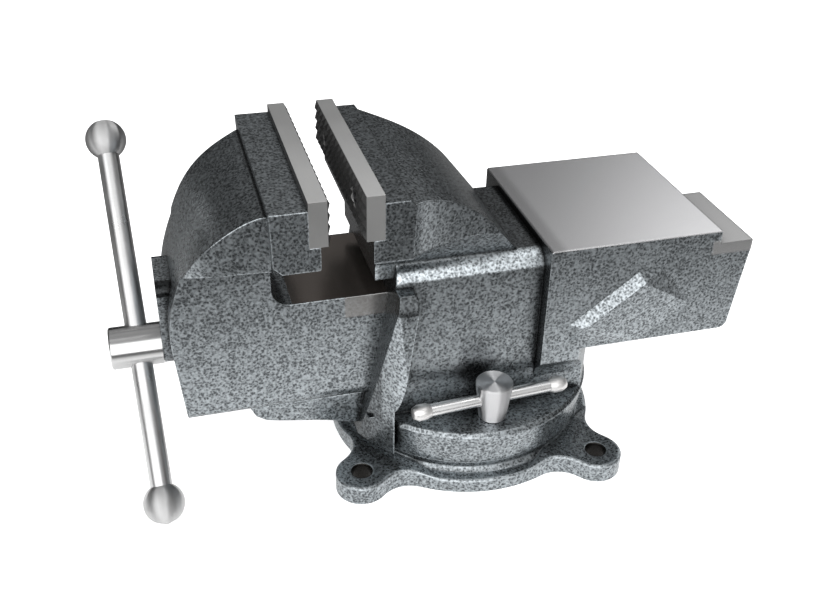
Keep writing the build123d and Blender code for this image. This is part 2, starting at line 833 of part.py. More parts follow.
# Spindle: head with the handle bore, journal and screw
with BuildPart() as spindle:
    with BuildSketch(Plane.YZ.offset(hub_end)):
        with Locations((0, axis_z)):
            Circle(hub_radius)
    extrude(amount=boss_face - hub_end - body_gap)
    chamfer(spindle.edges().filter_by(GeomType.CIRCLE).group_by(Axis.X)[0], hub_edge)
    with BuildSketch(Plane.YZ.offset(hub_end + hub_edge)):
        with Locations((0, axis_z)):
            Circle(screw_radius)
    extrude(amount=screw_end - hub_end - hub_edge)
    chamfer(spindle.edges().filter_by(GeomType.CIRCLE).group_by(Axis.X)[-1], screw_edge)
    with BuildSketch(handle_line.offset(-hub_radius - cut_past)):
        Circle(handle_radius + running_gap)
    extrude(amount=2 * (hub_radius + cut_past), mode=Mode.SUBTRACT)
    with BuildSketch(Plane.XY.offset(axis_z - screw_radius - cut_past)):
        with Locations((collar_middle, 0)):
            Circle(collar_pin_radius)
    extrude(amount=2 * (screw_radius + cut_past), mode=Mode.SUBTRACT)

spindle.part.label = "spindle"

export_step(spindle.part, "parts/spindle.step")

# Collar behind the front wall, with the pin that holds it on the spindle
with BuildPart() as spindle_collar:
    with BuildSketch(Plane.YZ.offset(collar_front)):
        with Locations((0, axis_z)):
            Circle(collar_radius)
            Circle(screw_radius + running_gap, mode=Mode.SUBTRACT)
    extrude(amount=collar_width)
    with BuildSketch(Plane.XY.offset(axis_z - collar_radius - cut_past)):
        with Locations((collar_middle, 0)):
            Circle(collar_pin_radius)
    extrude(amount=2 * (collar_radius + cut_past), mode=Mode.SUBTRACT)

spindle_collar.part.label = "spindle_collar"

export_step(spindle_collar.part, "parts/spindle_collar.step")

with BuildPart() as collar_pin:
    with BuildSketch(Plane.XY.offset(axis_z - collar_radius + collar_pin_inset)):
        with Locations((collar_middle, 0)):
            Circle(collar_pin_radius - screw_gap)
    extrude(amount=2 * (collar_radius - collar_pin_inset))

collar_pin.part.label = "collar_pin"

export_step(collar_pin.part, "parts/collar_pin.step")

# Sliding handle rod with a ball screwed on each end
with BuildPart() as handle_rod:
    with BuildSketch(handle_line.offset(-handle_down - socket_top)):
        Circle(handle_radius)
    extrude(amount=handle_down + handle_up + 2 * socket_top)

handle_rod.part.label = "handle_rod"

export_step(handle_rod.part, "parts/handle_rod.step")


def handle_ball(centre, outward):
    """Ball with a slightly pointed outer end and a socket for the rod."""
    ball_plane = handle_line.offset(centre)
    with BuildPart() as ball:
        with BuildSketch(Plane(origin=ball_plane.origin, x_dir=ball_plane.x_dir, z_dir=-ball_plane.y_dir)):
            with BuildLine():
                tip = outward * (ball_radius + ball_point)
                rim = ball_radius * math.sin(ball_point_angle)
                rim_height = outward * ball_radius * math.cos(ball_point_angle)
                Line((0, tip), (rim, rim_height))
                ThreePointArc((rim, rim_height), (ball_radius, 0), (0, -outward * ball_radius))
                Line((0, -outward * ball_radius), (0, tip))
            make_face()
        revolve(axis=Axis(ball_plane.origin, ball_plane.z_dir))
        with BuildSketch(handle_line.offset(centre + outward * (socket_top + running_gap))):
            Circle(handle_radius + running_gap)
        extrude(amount=-outward * 2 * ball_radius, mode=Mode.SUBTRACT)
    return ball.part


upper_handle_ball = handle_ball(handle_up, 1)
upper_handle_ball.label = "upper_handle_ball"
export_step(upper_handle_ball, "parts/upper_handle_ball.step")

lower_handle_ball = handle_ball(-handle_down, -1)
lower_handle_ball.label = "lower_handle_ball"
export_step(lower_handle_ball, "parts/lower_handle_ball.step")


# Main nut that stands on the channel floor, bored for the spindle
with BuildPart() as main_nut:
    with BuildSketch(Plane.YZ.offset(nut_front)):
        with BuildLine():
            Polyline(
                (-nut_half, channel_under),
                (nut_half, channel_under),
                (nut_half, nut_slope_foot),
                (nut_half - nut_slope_in, nut_top),
                (-nut_half + nut_slope_in, nut_top),
                (-nut_half, nut_slope_foot),
                close=True,
            )
        make_face()
        with Locations((0, axis_z)):
            Circle(screw_radius + running_gap, mode=Mode.SUBTRACT)
    extrude(amount=nut_length)
    with BuildSketch(Plane.XY.offset(channel_under)):
        with Locations((nut_bolt_x, -nut_bolt_pitch / 2), (nut_bolt_x, nut_bolt_pitch / 2)):
            Circle(nut_bolt_radius + running_gap)
    extrude(amount=nut_bolt_grip + overlap, mode=Mode.SUBTRACT)

main_nut.part.label = "main_nut"

export_step(main_nut.part, "parts/main_nut.step")

with BuildPart() as nut_bolts:
    with BuildSketch(Plane.XY.offset(nut_bolt_seat - nut_bolt_head_height)):
        with Locations((nut_bolt_x, -nut_bolt_pitch / 2), (nut_bolt_x, nut_bolt_pitch / 2)):
            RegularPolygon(nut_bolt_head_radius, 6)
    extrude(amount=nut_bolt_head_height)
    with BuildSketch(Plane.XY.offset(nut_bolt_seat)):
        with Locations((nut_bolt_x, -nut_bolt_pitch / 2), (nut_bolt_x, nut_bolt_pitch / 2)):
            Circle(nut_bolt_radius)
    extrude(amount=channel_under + nut_bolt_grip - nut_bolt_seat)

nut_bolts.part.label = "nut_bolts"

export_step(nut_bolts.part, "parts/nut_bolts.step")


# Two swivel locks, one on each side: side is -1 near the front and 1 behind
def lock_lever_plane(side, along):
    """Plane across a lock's T bar, at a distance along it from the bolt's axis."""
    turn = math.radians(-side * lock_bar_turn)
    lever = Plane(
        origin=(0, side * lock_circle_radius, lock_bar_z),
        z_dir=(math.cos(turn), math.sin(turn), 0),
    )
    return lever.offset(along)


def lock_bolt(side):
    """Tapered head with a cross hole, on a shank that reaches the T nut."""
    nut_foot = tee_roof - body_gap - tee_nut_thickness
    with BuildPart() as bolt:
        with BuildSketch(Plane.XZ.offset(-side * lock_circle_radius)):
            with BuildLine():
                Polyline(
                    (0, nut_foot),
                    (lock_shank_radius, nut_foot),
                    (lock_shank_radius, flange_top + body_gap),
                    (lock_foot_radius, flange_top + body_gap),
                    (lock_head_radius, lock_top - lock_rim),
                    (lock_head_radius - lock_edge, lock_top),
                    (0, lock_top),
                    close=True,
                )
            make_face()
        revolve(axis=Axis((0, side * lock_circle_radius, 0), (0, 0, 1)))
        with BuildSketch(lock_lever_plane(side, -lock_head_radius - cut_past)):
            Circle(lock_bar_radius + running_gap)
        extrude(amount=2 * (lock_head_radius + cut_past), mode=Mode.SUBTRACT)
    return bolt.part


def lock_bar(side):
    """Plain T bar that slides through the bolt's head."""
    with BuildPart() as bar:
        with BuildSketch(lock_lever_plane(side, lock_bar_shift - lock_bar_length / 2)):
            Circle(lock_bar_radius)
        extrude(amount=lock_bar_length)
    return bar.part


def lock_knobs(side):
    """Faceted knobs pressed on both ends of the T bar."""
    with BuildPart() as knobs:
        for end in (-1, 1):
            inner_face = lock_lever_plane(side, lock_bar_shift + end * (lock_bar_length - knob_length) / 2)
            with BuildSketch(inner_face):
                RegularPolygon(knob_radius, knob_sides)
            extrude(amount=end * knob_length)
            chamfer(knobs.faces().sort_by(Axis.X)[(end - 1) // -2 - 1].edges(), knob_chamfer)
            with BuildSketch(inner_face):
                Circle(lock_bar_radius + running_gap)
            extrude(amount=end * (knob_length / 2 + running_gap), mode=Mode.SUBTRACT)
    return knobs.part


def tee_nut(side):
    """Nut curved to the T slot, its neck standing in the slot's mouth."""
    nut_roof = tee_roof - body_gap
    with BuildPart() as nut:
        for half_width, low, high in (
            (tee_room_width / 2 - body_gap, nut_roof - tee_nut_thickness, nut_roof),
            (tee_slot_width / 2 - body_gap, nut_roof, base_height - body_gap),
        ):
            with BuildSketch(Plane.XY.offset(low)):
                Circle(lock_circle_radius + half_width)
                Circle(lock_circle_radius - half_width, mode=Mode.SUBTRACT)
                with Locations((0, side * lock_circle_radius)):
                    Rectangle(tee_nut_length, 2 * tee_room_width, mode=Mode.INTERSECT)
            extrude(amount=high - low)
        with BuildSketch(Plane.XY):
            with Locations((0, side * lock_circle_radius)):
                Circle(lock_shank_radius + running_gap)
        extrude(amount=base_height, mode=Mode.SUBTRACT)
    return nut.part


for side, place in ((-1, "near"), (1, "far")):
    for name, build_piece in (
        ("lock_bolt", lock_bolt),
        ("lock_bar", lock_bar),
        ("lock_knobs", lock_knobs),
        ("tee_nut", tee_nut),
    ):
        piece = build_piece(side)
        piece.label = f"{name}_{place}"
        export_step(piece, f"parts/{piece.label}.step")
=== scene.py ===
import json
import math

import bpy
import numpy as np
from mathutils import Matrix, Vector


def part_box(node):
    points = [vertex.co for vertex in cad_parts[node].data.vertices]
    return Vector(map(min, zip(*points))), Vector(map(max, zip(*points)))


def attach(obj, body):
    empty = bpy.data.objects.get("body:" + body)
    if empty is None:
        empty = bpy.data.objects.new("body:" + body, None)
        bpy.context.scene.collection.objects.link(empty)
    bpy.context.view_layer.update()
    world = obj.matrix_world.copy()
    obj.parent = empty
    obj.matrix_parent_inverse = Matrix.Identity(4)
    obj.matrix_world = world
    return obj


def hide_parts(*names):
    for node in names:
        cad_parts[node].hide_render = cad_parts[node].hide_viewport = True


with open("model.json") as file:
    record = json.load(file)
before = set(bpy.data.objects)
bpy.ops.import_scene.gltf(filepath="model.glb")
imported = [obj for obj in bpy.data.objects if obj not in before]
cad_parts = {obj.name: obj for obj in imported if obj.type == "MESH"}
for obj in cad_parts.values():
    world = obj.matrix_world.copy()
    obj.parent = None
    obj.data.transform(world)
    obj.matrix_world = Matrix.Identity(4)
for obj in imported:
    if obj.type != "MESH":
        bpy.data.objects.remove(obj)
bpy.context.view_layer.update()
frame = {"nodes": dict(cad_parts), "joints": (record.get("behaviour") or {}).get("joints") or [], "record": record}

nodes = frame["nodes"]
joints = {joint["name"]: joint for joint in frame["joints"]}
upright = (0.0, 0.0, 1.0)
print("stage: frame loaded,", len(nodes), "nodes")

# Camera: azimuth, elevation and roll in degrees, place in metres, lens and sensor width in mm
cameraSetup = {
    "azimuth": -15.9775,
    "elevation": 33.1361,
    "roll": 1.2093,
    "place": (-0.20567, -0.57582, 0.48690),
    "lens": 44.578,
    "sensor": 36.0,
}


def makeCamera():
    # back = (sin a cos e, -cos a cos e, sin e); right and up complete it, then both roll about it
    a, e, r = (math.radians(cameraSetup[key]) for key in ("azimuth", "elevation", "roll"))
    back = Vector((math.sin(a) * math.cos(e), -math.cos(a) * math.cos(e), math.sin(e)))
    right = (-back).cross(Vector(upright)).normalized()
    up = right.cross(-back)
    rolledRight = math.cos(r) * right + math.sin(r) * up
    rolledUp = -math.sin(r) * right + math.cos(r) * up
    data = bpy.data.cameras.new("benchCamera")
    data.lens = cameraSetup["lens"]
    data.sensor_width = cameraSetup["sensor"]
    data.sensor_fit = "HORIZONTAL"
    camera = bpy.data.objects.new("benchCamera", data)
    turn = Matrix((rolledRight, rolledUp, back)).transposed().to_4x4()
    camera.matrix_world = Matrix.Translation(cameraSetup["place"]) @ turn
    bpy.context.scene.collection.objects.link(camera)
    bpy.context.scene.camera = camera


def put(tree, value, socket):
    # a socket is linked, anything else is stored
    if isinstance(value, bpy.types.NodeSocket):
        tree.links.new(value, socket)
    else:
        socket.default_value = value


def addNode(tree, kind, inputs=None, **settings):
    node = tree.nodes.new(kind)
    for key, value in settings.items():
        setattr(node, key, value)
    for key, value in (inputs or {}).items():
        put(tree, value, node.inputs[key])
    return node


def maths(tree, operation, *values, clamp=False):
    node = addNode(tree, "ShaderNodeMath", operation=operation, use_clamp=clamp)
    for socket, value in zip(node.inputs, values):
        put(tree, value, socket)
    return node.outputs[0]


def vectorMaths(tree, operation, a, b=None):
    node = addNode(tree, "ShaderNodeVectorMath", {0: a}, operation=operation)
    if b is not None:
        put(tree, b, node.inputs[1])
    return node.outputs["Value" if operation in ("DOT_PRODUCT", "LENGTH") else "Vector"]


def ramp(tree, value, start, end, low=0.0, high=1.0):
    # a smooth step from low at start to high at end
    return addNode(tree, "ShaderNodeMapRange", {0: value, 1: start, 2: end, 3: low, 4: high},
                   interpolation_type="SMOOTHSTEP").outputs[0]


def mixColour(tree, factor, a, b, blend="MIX"):
    node = addNode(tree, "ShaderNodeMix", data_type="RGBA", blend_type=blend)
    for socket, value in zip((node.inputs[0], node.inputs[6], node.inputs[7]), (factor, a, b)):
        put(tree, value, socket)
    return node.outputs[2]


def mixValue(tree, factor, a, b):
    node = addNode(tree, "ShaderNodeMix", data_type="FLOAT")
    for socket, value in zip((node.inputs[0], node.inputs[2], node.inputs[3]), (factor, a, b)):
        put(tree, value, socket)
    return node.outputs[0]


def tint(tree, colour, shade):
    return mixColour(tree, 1.0, colour, shade, "MULTIPLY")


def split(tree, vector):
    return addNode(tree, "ShaderNodeSeparateXYZ", {0: vector}).outputs


def facing(tree, axis):
    # how far a face looks along X, Y or Z of its object, -1 to 1
    return split(tree, addNode(tree, "ShaderNodeTexCoord").outputs["Normal"])[axis]


def noise(tree, place, scale, detail, roughness=0.5):
    return addNode(tree, "ShaderNodeTexNoise", {"Vector": place, "Scale": scale, "Detail": detail,
                                                "Roughness": roughness}).outputs


def grey(value):
    return (value, value, value, 1.0)


# Studio: strengths, and smooth steps (up from, up to, down from, down to) in degrees. Sides count from
# the front, positive to the right, but back and corner from behind; heights count from the horizon. The
# ceiling runs by pitch from the front and ends as |x| passes ceilingReach. Dark is the rest of the room,
# and fill is the rest of it for matt surfaces
sky = {
    "window": 2.3, "windowSide": (-80, -58, 8, 28), "windowHeight": (-12, -4, 48, 60),
    "right": 0.40, "rightSide": (8, 28, 45, 75),
    "left": 0.08, "leftSide": (-170, -130, -80, -58),
    "back": 0.30, "backSide": (-30, -10, 20, 34), "backHeight": (20, 32, 60, 80),
    "corner": 1.9, "cornerSide": (22, 38, 66, 84), "cornerHeight": (18, 28, 50, 64),
    "strip": 2.2, "stripSide": (24, 36, 62, 80), "stripHeight": (56, 64, 76, 84),
    "ceiling": 0.35, "ceilingPitch": (50, 62, 104, 124), "ceilingReach": (0.55, 0.85),
    "dark": 0.03, "fill": 0.20,
}


def makeWorld():
    # A white window at the front left, a grey ceiling, and a dark room behind. Each light is a product
    # of smooth steps of azimuth atan2(x, -y), azimuth behind atan2(x, y), height asin(z) and pitch
    # atan2(z, -y)
    world = bpy.data.worlds.new("studioSky")
    bpy.context.scene.world = world
    world.use_nodes = True
    tree = world.node_tree
    tree.nodes.clear()
    place = split(tree, addNode(tree, "ShaderNodeTexCoord").outputs["Generated"])
    front = maths(tree, "MULTIPLY", place["Y"], -1.0)
    azimuth = maths(tree, "DEGREES", maths(tree, "ARCTAN2", place["X"], front))
    behind = maths(tree, "DEGREES", maths(tree, "ARCTAN2", place["X"], place["Y"]))
    height = maths(tree, "DEGREES", maths(tree, "ARCSINE", place["Z"]))
    pitch = maths(tree, "DEGREES", maths(tree, "ARCTAN2", place["Z"], front))
    reach = maths(tree, "ABSOLUTE", place["X"])

    def between(value, steps):
        return maths(tree, "MULTIPLY", ramp(tree, value, *steps[:2]), ramp(tree, value, *steps[2:], 1.0, 0.0))

    def band(across, sides, heights):
        return maths(tree, "MULTIPLY", between(across, sides), between(height, heights))

    ceiling = maths(tree, "MULTIPLY", between(pitch, sky["ceilingPitch"]),
                    ramp(tree, reach, *sky["ceilingReach"], 1.0, 0.0))
    lights = (
        (band(azimuth, sky["windowSide"], sky["windowHeight"]), sky["window"]),
        (ceiling, sky["ceiling"]),
        (band(azimuth, sky["rightSide"], sky["windowHeight"]), sky["right"]),
        (band(azimuth, sky["leftSide"], sky["windowHeight"]), sky["left"]),
        (band(behind, sky["backSide"], sky["backHeight"]), sky["back"]),
        (band(behind, sky["cornerSide"], sky["cornerHeight"]), sky["corner"]),
        (band(azimuth, sky["stripSide"], sky["stripHeight"]), sky["strip"]),
    )
    path = addNode(tree, "ShaderNodeLightPath").outputs
    level = maths(tree, "MULTIPLY_ADD", path["Is Diffuse Ray"], sky["fill"] - sky["dark"], sky["dark"])
    for mask, strength in lights:
        level = maths(tree, "MULTIPLY_ADD", mask, strength, level)
    seen = mixValue(tree, path["Is Camera Ray"], level, 1.0)
    background = addNode(tree, "ShaderNodeBackground", {"Color": grey(1.0), "Strength": seen})
    out = addNode(tree, "ShaderNodeOutputWorld")
    tree.links.new(background.outputs[0], out.inputs["Surface"])


# Floor: half its side and its falls along Y in metres, how dark reflections of it end in front and
# behind, and the lifts of its glow for the eye, in reflections and in those near the vise
floorSetup = {
    "half": 4.0, "colour": 0.80, "cameraLift": 0.80, "glossyLift": 0.03, "nearLift": 0.32,
    "frontFall": (-0.36, -0.08), "frontDark": 0.12, "backFall": (0.0, 0.24), "backDark": 0.14,
}


def makeFloor():
    # one flat square at z = 0, lifted to white for the eye, with the shade of the vise kept; in
    # reflections it darkens away from the vise, by the product of two smooth steps of y
    half = floorSetup["half"]
    corners = [(-half, -half, 0), (half, -half, 0), (half, half, 0), (-half, half, 0)]
    mesh = bpy.data.meshes.new("floor")
    mesh.from_pydata(corners, [], [(0, 1, 2, 3)])
    floor = bpy.data.objects.new("floor", mesh)
    bpy.context.scene.collection.objects.link(floor)
    mat = bpy.data.materials.new("paleFloor")
    mat.use_nodes = True
    tree = mat.node_tree
    tree.nodes.clear()
    path = addNode(tree, "ShaderNodeLightPath").outputs
    mirror = maths(tree, "MAXIMUM", path["Is Glossy Ray"], path["Is Transmission Ray"])
    depth = split(tree, addNode(tree, "ShaderNodeNewGeometry").outputs["Position"])["Y"]
    near = ramp(tree, depth, *floorSetup["frontFall"], floorSetup["frontDark"], 1.0)
    far = ramp(tree, depth, *floorSetup["backFall"], 1.0, floorSetup["backDark"])
    zone = maths(tree, "MULTIPLY", near, far)
    glossyLift = maths(tree, "MULTIPLY_ADD", zone, floorSetup["nearLift"], floorSetup["glossyLift"])
    lift = maths(tree, "MULTIPLY_ADD", path["Is Camera Ray"], floorSetup["cameraLift"],
                 maths(tree, "MULTIPLY", mirror, glossyLift))
    sheet = mixValue(tree, mirror, 1.0, zone)
    tone = maths(tree, "MULTIPLY", sheet, floorSetup["colour"])
    lit = addNode(tree, "ShaderNodeBsdfDiffuse", {"Color": tone})
    glow = addNode(tree, "ShaderNodeEmission", {"Color": grey(1.0), "Strength": lift})
    both = addNode(tree, "ShaderNodeAddShader", {0: lit.outputs[0], 1: glow.outputs[0]})
    out = addNode(tree, "ShaderNodeOutputMaterial")
    tree.links.new(both.outputs[0], out.inputs["Surface"])
    mesh.materials.append(mat)


# Overhead lamp: place and size in metres
topLamp = {"place": (0.10, -0.10, 1.10), "size": (0.9, 0.7), "watts": 6.0}


def makeTopLamp():
    # a broad lamp overhead, kept out of the reflections
    data = bpy.data.lights.new("topLamp", "AREA")
    data.shape = "RECTANGLE"
    data.size, data.size_y = topLamp["size"]
    data.energy = topLamp["watts"]
    lamp = bpy.data.objects.new("topLamp", data)
    lamp.location = topLamp["place"]
    lamp.visible_glossy = False
    bpy.context.scene.collection.objects.link(lamp)


makeCamera()
makeWorld()
makeFloor()
makeTopLamp()
bpy.context.scene.view_settings.view_transform = "Standard"
print("stage: camera, sky and floor made")


def makeGroup(name, inputs, outputs):
    # inputs are (name, Float or Vector, default or None), outputs are names of floats
    group = bpy.data.node_groups.new(name, "ShaderNodeTree")
    for label, kind, default in inputs:
        socket = group.interface.new_socket(label, in_out="INPUT", socket_type="NodeSocket" + kind)
        if default is not None:
            socket.default_value = default
    for label in outputs:
        group.interface.new_socket(label, in_out="OUTPUT", socket_type="NodeSocketFloat")
    return group, addNode(group, "NodeGroupInput").outputs, addNode(group, "NodeGroupOutput").inputs


def useGroup(tree, group, inputs):
    node = tree.nodes.new("ShaderNodeGroup")
    node.node_tree = group
    for key, value in inputs.items():
        put(tree, value, node.inputs[key])
    return node.outputs


# Hammertone flecks: scales in cells per metre, warp in metres; drops are the part of the cells in the
# mix with the grain, and the cut moves with slow patches by patchShift = (slope, start)
hammer = {
    "cells": 500.0, "randomness": 0.85, "cut": 0.505, "soft": 0.24, "drops": 0.42,
    "warp": 0.003, "warpScale": 300.0, "grainScale": 640.0, "fineDetail": 1.0,
    "patchScale": 38.0, "patchDetail": 3.0, "patchShift": (-0.10, 0.05),
}


def makeHammerGroup():
    # height = the distance to the nearest of scattered points, blended with a fine noise;
    # fleck = smooth step of the height between Cut - Soft and Cut + Soft
    group, given, made = makeGroup(
        "hammerPaint",
        [("Vector", "Vector", None), ("Cells", "Float", hammer["cells"]), ("Cut", "Float", hammer["cut"]),
         ("Soft", "Float", hammer["soft"])],
        ["Fleck", "Height"])
    place = given["Vector"]
    wave = noise(group, place, hammer["warpScale"], hammer["fineDetail"])["Color"]
    push = vectorMaths(group, "SUBTRACT", wave, (0.5, 0.5, 0.5))
    warped = vectorMaths(group, "ADD", place, vectorMaths(group, "MULTIPLY", push, (hammer["warp"],) * 3))
    points = addNode(group, "ShaderNodeTexVoronoi",
                     {"Vector": warped, "Scale": given["Cells"], "Randomness": hammer["randomness"]},
                     feature="F1").outputs["Distance"]
    grain = noise(group, place, hammer["grainScale"], hammer["fineDetail"])["Fac"]
    height = mixValue(group, hammer["drops"], grain, points)
    patch = noise(group, place, hammer["patchScale"], hammer["patchDetail"])["Fac"]
    cut = maths(group, "ADD", given["Cut"], maths(group, "MULTIPLY_ADD", patch, *hammer["patchShift"]))
    low = maths(group, "SUBTRACT", cut, given["Soft"])
    high = maths(group, "ADD", cut, given["Soft"])
    group.links.new(ramp(group, height, low, high), made["Fleck"])
    group.links.new(height, made["Height"])
    return group


def makeBoxGroup():
    # inside = product over x, y, z of smoothstep(p - low) times smoothstep(high - p)
    group, given, made = makeGroup(
        "insideBox",
        [("Vector", "Vector", None), ("Low", "Vector", None), ("High", "Vector", None),
         ("Soft", "Float", None)],
        ["Inside"])
    result = None
    back = maths(group, "MULTIPLY", given["Soft"], -1.0)
    for first, second in (("Vector", "Low"), ("High", "Vector")):
        for distance in split(group, vectorMaths(group, "SUBTRACT", given[first], given[second])):
            step = ramp(group, distance, back, given["Soft"])
            result = step if result is None else maths(group, "MULTIPLY", result, step)
    group.links.new(result, made["Inside"])
    return group


# Tool marks: the lines' own detail and roughness, and a slow blotch in cells per metre
toolMarks = {"detail": 4.0, "roughness": 0.6, "blotchScale": 35.0, "blotchDetail": 3.0}


def makeLineGroup():
    # lines = noise of the place squeezed along one axis, as a grinder or a lathe leaves them
    group, given, made = makeGroup(
        "toolLines",
        [("Vector", "Vector", None), ("Stretch", "Vector", None), ("Scale", "Float", None)],
        ["Lines", "Blotch"])
    squeezed = vectorMaths(group, "MULTIPLY", given["Vector"], given["Stretch"])
    lines = noise(group, squeezed, given["Scale"], toolMarks["detail"], toolMarks["roughness"])["Fac"]
    blotch = noise(group, given["Vector"], toolMarks["blotchScale"], toolMarks["blotchDetail"])["Fac"]
    group.links.new(lines, made["Lines"])
    group.links.new(blotch, made["Blotch"])
    return group


def makeRimGroup():
    # rim = 1 - dot of the rounded normal with the true one, times Gain, kept within 0 and 1
    group, given, made = makeGroup(
        "roundedRim",
        [("Rounded", "Vector", None), ("True", "Vector", None), ("Gain", "Float", None)],
        ["Rim"])
    same = vectorMaths(group, "DOT_PRODUCT", given["Rounded"], given["True"])
    bent = maths(group, "SUBTRACT", 1.0, same)
    group.links.new(maths(group, "MULTIPLY", bent, given["Gain"], clamp=True), made["Rim"])
    return group


hammerGroup = makeHammerGroup()
boxGroup = makeBoxGroup()
lineGroup = makeLineGroup()
rimGroup = makeRimGroup()
print("stage: shader groups made")


def newMaterial(name):
    mat = bpy.data.materials.new(name)
    mat.use_nodes = True
    tree = mat.node_tree
    place = addNode(tree, "ShaderNodeTexCoord").outputs["Object"]
    return mat, tree, tree.nodes["Principled BSDF"].inputs, place


def insideOf(tree, place, low, high, soft):
    return useGroup(tree, boxGroup, {"Vector": place, "Low": low, "High": high, "Soft": soft})["Inside"]


def shadeOf(tree, reach, shade, start=0.5, end=0.95):
    # grey that falls from 1 in the open to shade where less than start of the view round is clear
    clear = addNode(tree, "ShaderNodeAmbientOcclusion", {"Distance": reach}, samples=8,
                    only_local=True).outputs["AO"]
    return ramp(tree, clear, start, end, shade, 1.0)


# Paint on the castings: linear colours, sizes in metres; edgeLight paints highlights on the rounded edges, crease
# and hollow paint shade into corners within their reach, frontShade paints shade on the faces towards -X
paint = {
    "dark": (0.072, 0.079, 0.084, 1.0), "light": (0.452, 0.489, 0.512, 1.0),
    "metallic": 0.92, "roughness": 0.30, "darkRoughness": 0.26, "coat": 0.10, "coatRoughness": 0.15,
    "bump": 0.30, "bumpDepth": 0.0003, "edge": 0.0014, "edgeSamples": 8, "edgeLight": 0.28,
    "rimGain": 7.0, "creaseReach": 0.004, "creaseShade": 0.15, "hollowReach": 0.018,
    "hollowShade": 0.42, "frontShade": 1.0, "frontSteps": (-0.95, -0.6),
}
# Bare iron: lines of lineGrey mixed in by lineMix, and a factor on its upright faces that paints light on them
bareIron = {
    "roughness": 0.22, "metallic": 0.82, "stretch": (4.0, 60.0, 60.0), "scale": 40.0, "lineMix": 0.35,
    "lineGrey": 0.30, "lineBump": 0.05, "sideTone": 1.5, "sideSteps": (0.4, 0.8),
}
# Painted shade in the holes: its tone, fading out between start and end outside the hole's radius
holePaintedShade = {"tone": (0.03, 0.028, 0.026, 1.0), "start": 0.0001, "end": 0.0006}


def makePaint(name, bareBoxes=(), holes=(), shadeAndLightBoxes=(), softBox=None, **changes):
    # Hammertone paint, with bare machined iron inside the boxes (low, high, soft, colour), painted shade inside
    # the upright holes (x, y, radius), painted shade where a box's factor is below 1 and painted light where it is
    # above 1 inside the shade and light boxes (low, high, soft, factor) and softer edges inside the soft box (low,
    # high, soft, radius); changes are to the values of paint
    look = paint | changes
    mat, tree, shader, place = newMaterial(name)
    flecks = useGroup(tree, hammerGroup, {"Vector": place})
    edge = look["edge"]
    if softBox:
        edge = mixValue(tree, insideOf(tree, place, *softBox[:3]), look["edge"], softBox[3])
    rounded = addNode(tree, "ShaderNodeBevel", {"Radius": edge}, samples=look["edgeSamples"]).outputs[0]
    trueNormal = addNode(tree, "ShaderNodeNewGeometry").outputs["Normal"]
    rim = useGroup(tree, rimGroup, {"Rounded": rounded, "True": trueNormal, "Gain": look["rimGain"]})["Rim"]
    # painted shade in creases and hollows, from how much of the view round is clear
    crease = shadeOf(tree, look["creaseReach"], look["creaseShade"])
    hollow = shadeOf(tree, look["hollowReach"], look["hollowShade"])
    # painted highlight: the flecks lightened along the rounded edges
    fleck = maths(tree, "MULTIPLY_ADD", maths(tree, "MULTIPLY", rim, crease), look["edgeLight"],
                  flecks["Fleck"], clamp=True)
    colour = mixColour(tree, fleck, look["dark"], look["light"])
    roughness = mixValue(tree, fleck, look["darkRoughness"], look["roughness"])
    metallic, coat, height = look["metallic"], look["coat"], flecks["Height"]

    bare = None
    for low, high, soft, tone in bareBoxes:
        inside = insideOf(tree, place, low, high, soft)
        bareColour = tone if bare is None else mixColour(tree, inside, bareColour, tone)
        bare = inside if bare is None else maths(tree, "MAXIMUM", bare, inside)
    if bare is not None:
        lines = useGroup(tree, lineGroup, {"Vector": place, "Stretch": bareIron["stretch"],
                                           "Scale": bareIron["scale"]})["Lines"]
        iron = mixColour(tree, maths(tree, "MULTIPLY", lines, bareIron["lineMix"]), bareColour,
                         grey(bareIron["lineGrey"]))
        # painted light on the bare iron's upright faces
        sides = ramp(tree, facing(tree, "Z"), *bareIron["sideSteps"], bareIron["sideTone"], 1.0)
        colour = mixColour(tree, bare, colour, tint(tree, iron, sides))
        metallic = mixValue(tree, bare, metallic, bareIron["metallic"])
        roughness = mixValue(tree, bare, roughness, bareIron["roughness"])
        coat = mixValue(tree, bare, coat, 0.0)
        height = mixValue(tree, bare, height, maths(tree, "MULTIPLY", lines, bareIron["lineBump"]))

    flat = vectorMaths(tree, "MULTIPLY", place, (1.0, 1.0, 0.0))
    # painted shade inside each upright hole
    for x, y, radius in holes:
        away = vectorMaths(tree, "LENGTH", vectorMaths(tree, "SUBTRACT", flat, (x, y, 0.0)))
        outside = ramp(tree, away, radius + holePaintedShade["start"], radius + holePaintedShade["end"])
        colour = mixColour(tree, outside, holePaintedShade["tone"], colour)

    shade = maths(tree, "MULTIPLY", crease, hollow)
    # painted shade and light: each box's factor darkens or lightens the colour inside it
    for low, high, soft, factor in shadeAndLightBoxes:
        inside = insideOf(tree, place, low, high, soft)
        shade = maths(tree, "MULTIPLY", shade, ramp(tree, inside, 0.0, 1.0, 1.0, factor))
    # painted shade on the faces towards -X
    if look["frontShade"] < 1.0:
        front = ramp(tree, facing(tree, "X"), *look["frontSteps"], look["frontShade"], 1.0)
        shade = maths(tree, "MULTIPLY", shade, front)

    put(tree, tint(tree, colour, shade), shader["Base Color"])
    put(tree, metallic, shader["Metallic"])
    put(tree, roughness, shader["Roughness"])
    put(tree, coat, shader["Coat Weight"])
    shader["Coat Roughness"].default_value = look["coatRoughness"]
    bump = addNode(tree, "ShaderNodeBump", {"Strength": look["bump"], "Distance": look["bumpDepth"],
                                            "Height": height, "Normal": rounded}).outputs[0]
    put(tree, bump, shader["Normal"])
    return mat
